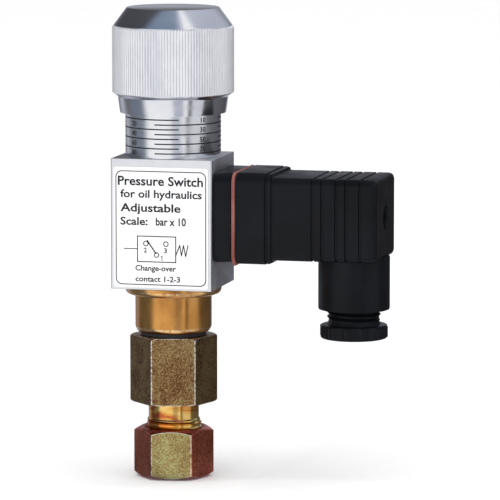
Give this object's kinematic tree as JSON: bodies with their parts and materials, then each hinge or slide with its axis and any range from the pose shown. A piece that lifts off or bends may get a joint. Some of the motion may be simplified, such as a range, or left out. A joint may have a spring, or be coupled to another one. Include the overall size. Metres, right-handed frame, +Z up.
{
  "type": "pressure switch",
  "caption": "Adjustable pressure switch: knurled knob over a graduated barrel, square aluminium body, angled plug connector, brass pressure end and a cone tube fitting with union nut.",
  "frame": {"origin": "middle of the bounding box's underside, on the surface that the union nut stands on; the main axis of knob, barrel and tube fitting stands at x = -25.15 mm", "axes": "+Z up along the main axis from the tube fitting to the knob, -Y out of the rating plate, +X from the main axis to the plug"},
  "size_m": [0.0886, 0.0382, 0.1482],
  "materials": {
    "aluminium": "clear anodised, turned and knurled",
    "brass": "turned, bright",
    "yellow_zinc": "yellow passivated zinc plating on steel",
    "steel": "turned or pressed, lightly oiled",
    "contact_metal": "tinned brass",
    "black_polyamide": "moulded, fine satin",
    "grey_polyamide": "moulded",
    "red_plastic": "moulded",
    "red_rubber": "moulded profile gasket",
    "black_rubber": "moulded",
    "label": "printed film",
    "wire_insulation": "extruded",
    "earth_insulation": "extruded, green"
  },
  "bodies": {
    "housing": {"switch_housing": "aluminium", "scale_barrel": "aluminium", "rating_plate": "label", "main_spring": "steel", "piston_housing": "brass", "piston_seal": "black_rubber", "port_seal": "black_rubber", "tube_adapter": "yellow_zinc", "microswitch_case": "black_polyamide", "switch_terminal_1": "contact_metal", "switch_terminal_2": "contact_metal", "switch_terminal_3": "contact_metal", "switch_screw_1": "steel", "switch_screw_2": "steel", "lead_wire_1": "wire_insulation", "lead_wire_2": "wire_insulation", "lead_wire_3": "wire_insulation", "earth_wire": "earth_insulation", "earth_screw": "contact_metal", "connector_base": "black_polyamide", "contact_blade_1": "contact_metal", "contact_blade_2": "contact_metal", "contact_blade_3": "contact_metal", "earth_blade": "contact_metal", "base_screw_1": "steel", "base_screw_2": "steel", "base_screw_3": "steel", "base_screw_4": "steel"},
    "spring_seat": {"upper_spring_plate": "steel", "thrust_ball": "steel"},
    "knob": {"adjusting_knob": "aluminium", "adjusting_spindle": "steel", "knob_set_screw": "steel"},
    "piston": {"piston": "steel", "lower_spring_plate": "steel"},
    "switch_lever": {"switch_lever": "steel"},
    "switch_button": {"switch_button": "red_plastic"},
    "cutting_ring": {"cutting_ring": "steel"},
    "union_nut": {"union_nut": "yellow_zinc"},
    "plug": {"plug_housing": "black_polyamide", "contact_carrier": "grey_polyamide", "contact_socket_1": "contact_metal", "contact_socket_2": "contact_metal", "contact_socket_3": "contact_metal", "contact_socket_4": "contact_metal", "clamp_screw_1": "steel", "clamp_screw_2": "steel", "clamp_screw_3": "steel", "clamp_screw_4": "steel", "profile_gasket": "red_rubber", "plug_screw_seal": "black_rubber", "gland_grommet": "black_rubber"},
    "plug_screw": {"plug_screw": "steel"},
    "gland_washer": {"gland_washer": "steel"},
    "gland_nut": {"gland_nut": "black_polyamide"}
  },
  "joints": [
    {"name": "knob_slide", "type": "slide", "parent": "housing", "child": "spring_seat", "axis": [0, 0, -1], "range_m": [0, 0.012], "deforming": ["main_spring"]},
    {"name": "knob_turn", "type": "hinge", "parent": "spring_seat", "child": "knob", "pos_m": [-0.02515, 0, 0.1153], "axis": [0, 0, -1], "range_deg": [0, 2880]},
    {"name": "piston_lift", "type": "slide", "parent": "housing", "child": "piston", "axis": [0, 0, 1], "range_m": [0, 0.0008], "stiffness_N_per_m": 100},
    {"name": "lever_tilt", "type": "hinge", "parent": "housing", "child": "switch_lever", "pos_m": [-0.01195, -0.0094, 0.08268], "axis": [1, 0, 0], "range_deg": [0, 2.7]},
    {"name": "button_press", "type": "slide", "parent": "housing", "child": "switch_button", "axis": [0, 0, 1], "range_m": [0, 0.0005]},
    {"name": "nut_slide", "type": "slide", "parent": "housing", "child": "cutting_ring", "axis": [0, 0, -1], "range_m": [0, 0.0045]},
    {"name": "nut_turn", "type": "hinge", "parent": "cutting_ring", "child": "union_nut", "pos_m": [-0.02515, 0, 0], "axis": [0, 0, -1], "range_deg": [0, 1080]},
    {"name": "plug_pull", "type": "slide", "parent": "housing", "child": "plug", "axis": [1, 0, 0], "range_m": [0, 0.02]},
    {"name": "plug_screw_turn", "type": "hinge", "parent": "plug", "child": "plug_screw", "pos_m": [0.04085, 0, 0.0837], "axis": [1, 0, 0], "range_deg": [0, 1440]},
    {"name": "gland_slide", "type": "slide", "parent": "plug", "child": "gland_washer", "axis": [0, 0, 1], "range_m": [0, 0.003], "deforming": ["gland_grommet"]},
    {"name": "gland_turn", "type": "hinge", "parent": "gland_washer", "child": "gland_nut", "pos_m": [0.03305, 0, 0.0458], "axis": [0, 0, 1], "range_deg": [0, 720]}
  ],
  "couplings": [
    {"joint": "knob_slide", "follows": "knob_turn", "m_per_rad": 0.00023873},
    {"joint": "lever_tilt", "follows": "piston_lift", "rad_per_m": 58.8},
    {"joint": "button_press", "follows": "piston_lift", "ratio": 0.62},
    {"joint": "nut_slide", "follows": "nut_turn", "m_per_rad": 0.00023873},
    {"joint": "gland_slide", "follows": "gland_turn", "m_per_rad": 0.00023873}
  ]
}
